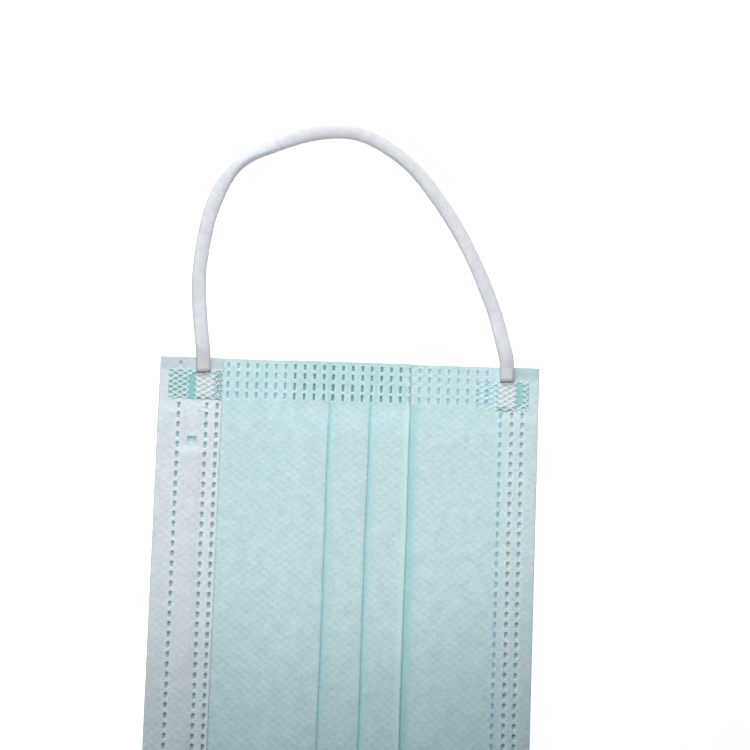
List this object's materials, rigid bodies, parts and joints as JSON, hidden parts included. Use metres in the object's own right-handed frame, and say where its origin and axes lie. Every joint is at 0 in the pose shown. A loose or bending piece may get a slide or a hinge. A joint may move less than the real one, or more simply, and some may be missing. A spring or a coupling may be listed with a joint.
{
  "type": "pleated disposable face mask with ear loops",
  "caption": "Flat-folded pleated cloth face mask with turned-over long edges, a nose wire in its pocket and elastic ear loops welded to the corners.",
  "frame": {"origin": "centre of the underside of the flat mask, on the surface that it lies on", "axes": "+Z out of the mask's outer face, +Y along its length, +X across it from the nose edge to the chin edge"},
  "size_m": [0.095, 0.2966, 0.0058],
  "materials": {
    "mint_spunbond": "matte nonwoven cloth with a fine point-bond pattern",
    "white_spunbond": "matte white nonwoven cloth",
    "white_elastic": "soft knitted elastic",
    "coated_wire": "plastic coating over a flat steel wire"
  },
  "bodies": {
    "root": {"pleated_panel": "mint_spunbond", "nose_edge_fold": "white_spunbond", "chin_edge_fold": "white_spunbond", "nose_wire": "coated_wire", "ear_loop_a": "white_elastic", "ear_loop_b": "white_elastic", "loop_end_nose_a": "white_elastic", "loop_end_nose_b": "white_elastic", "loop_end_chin_a": "white_elastic", "loop_end_chin_b": "white_elastic"}
  },
  "joints": []
}
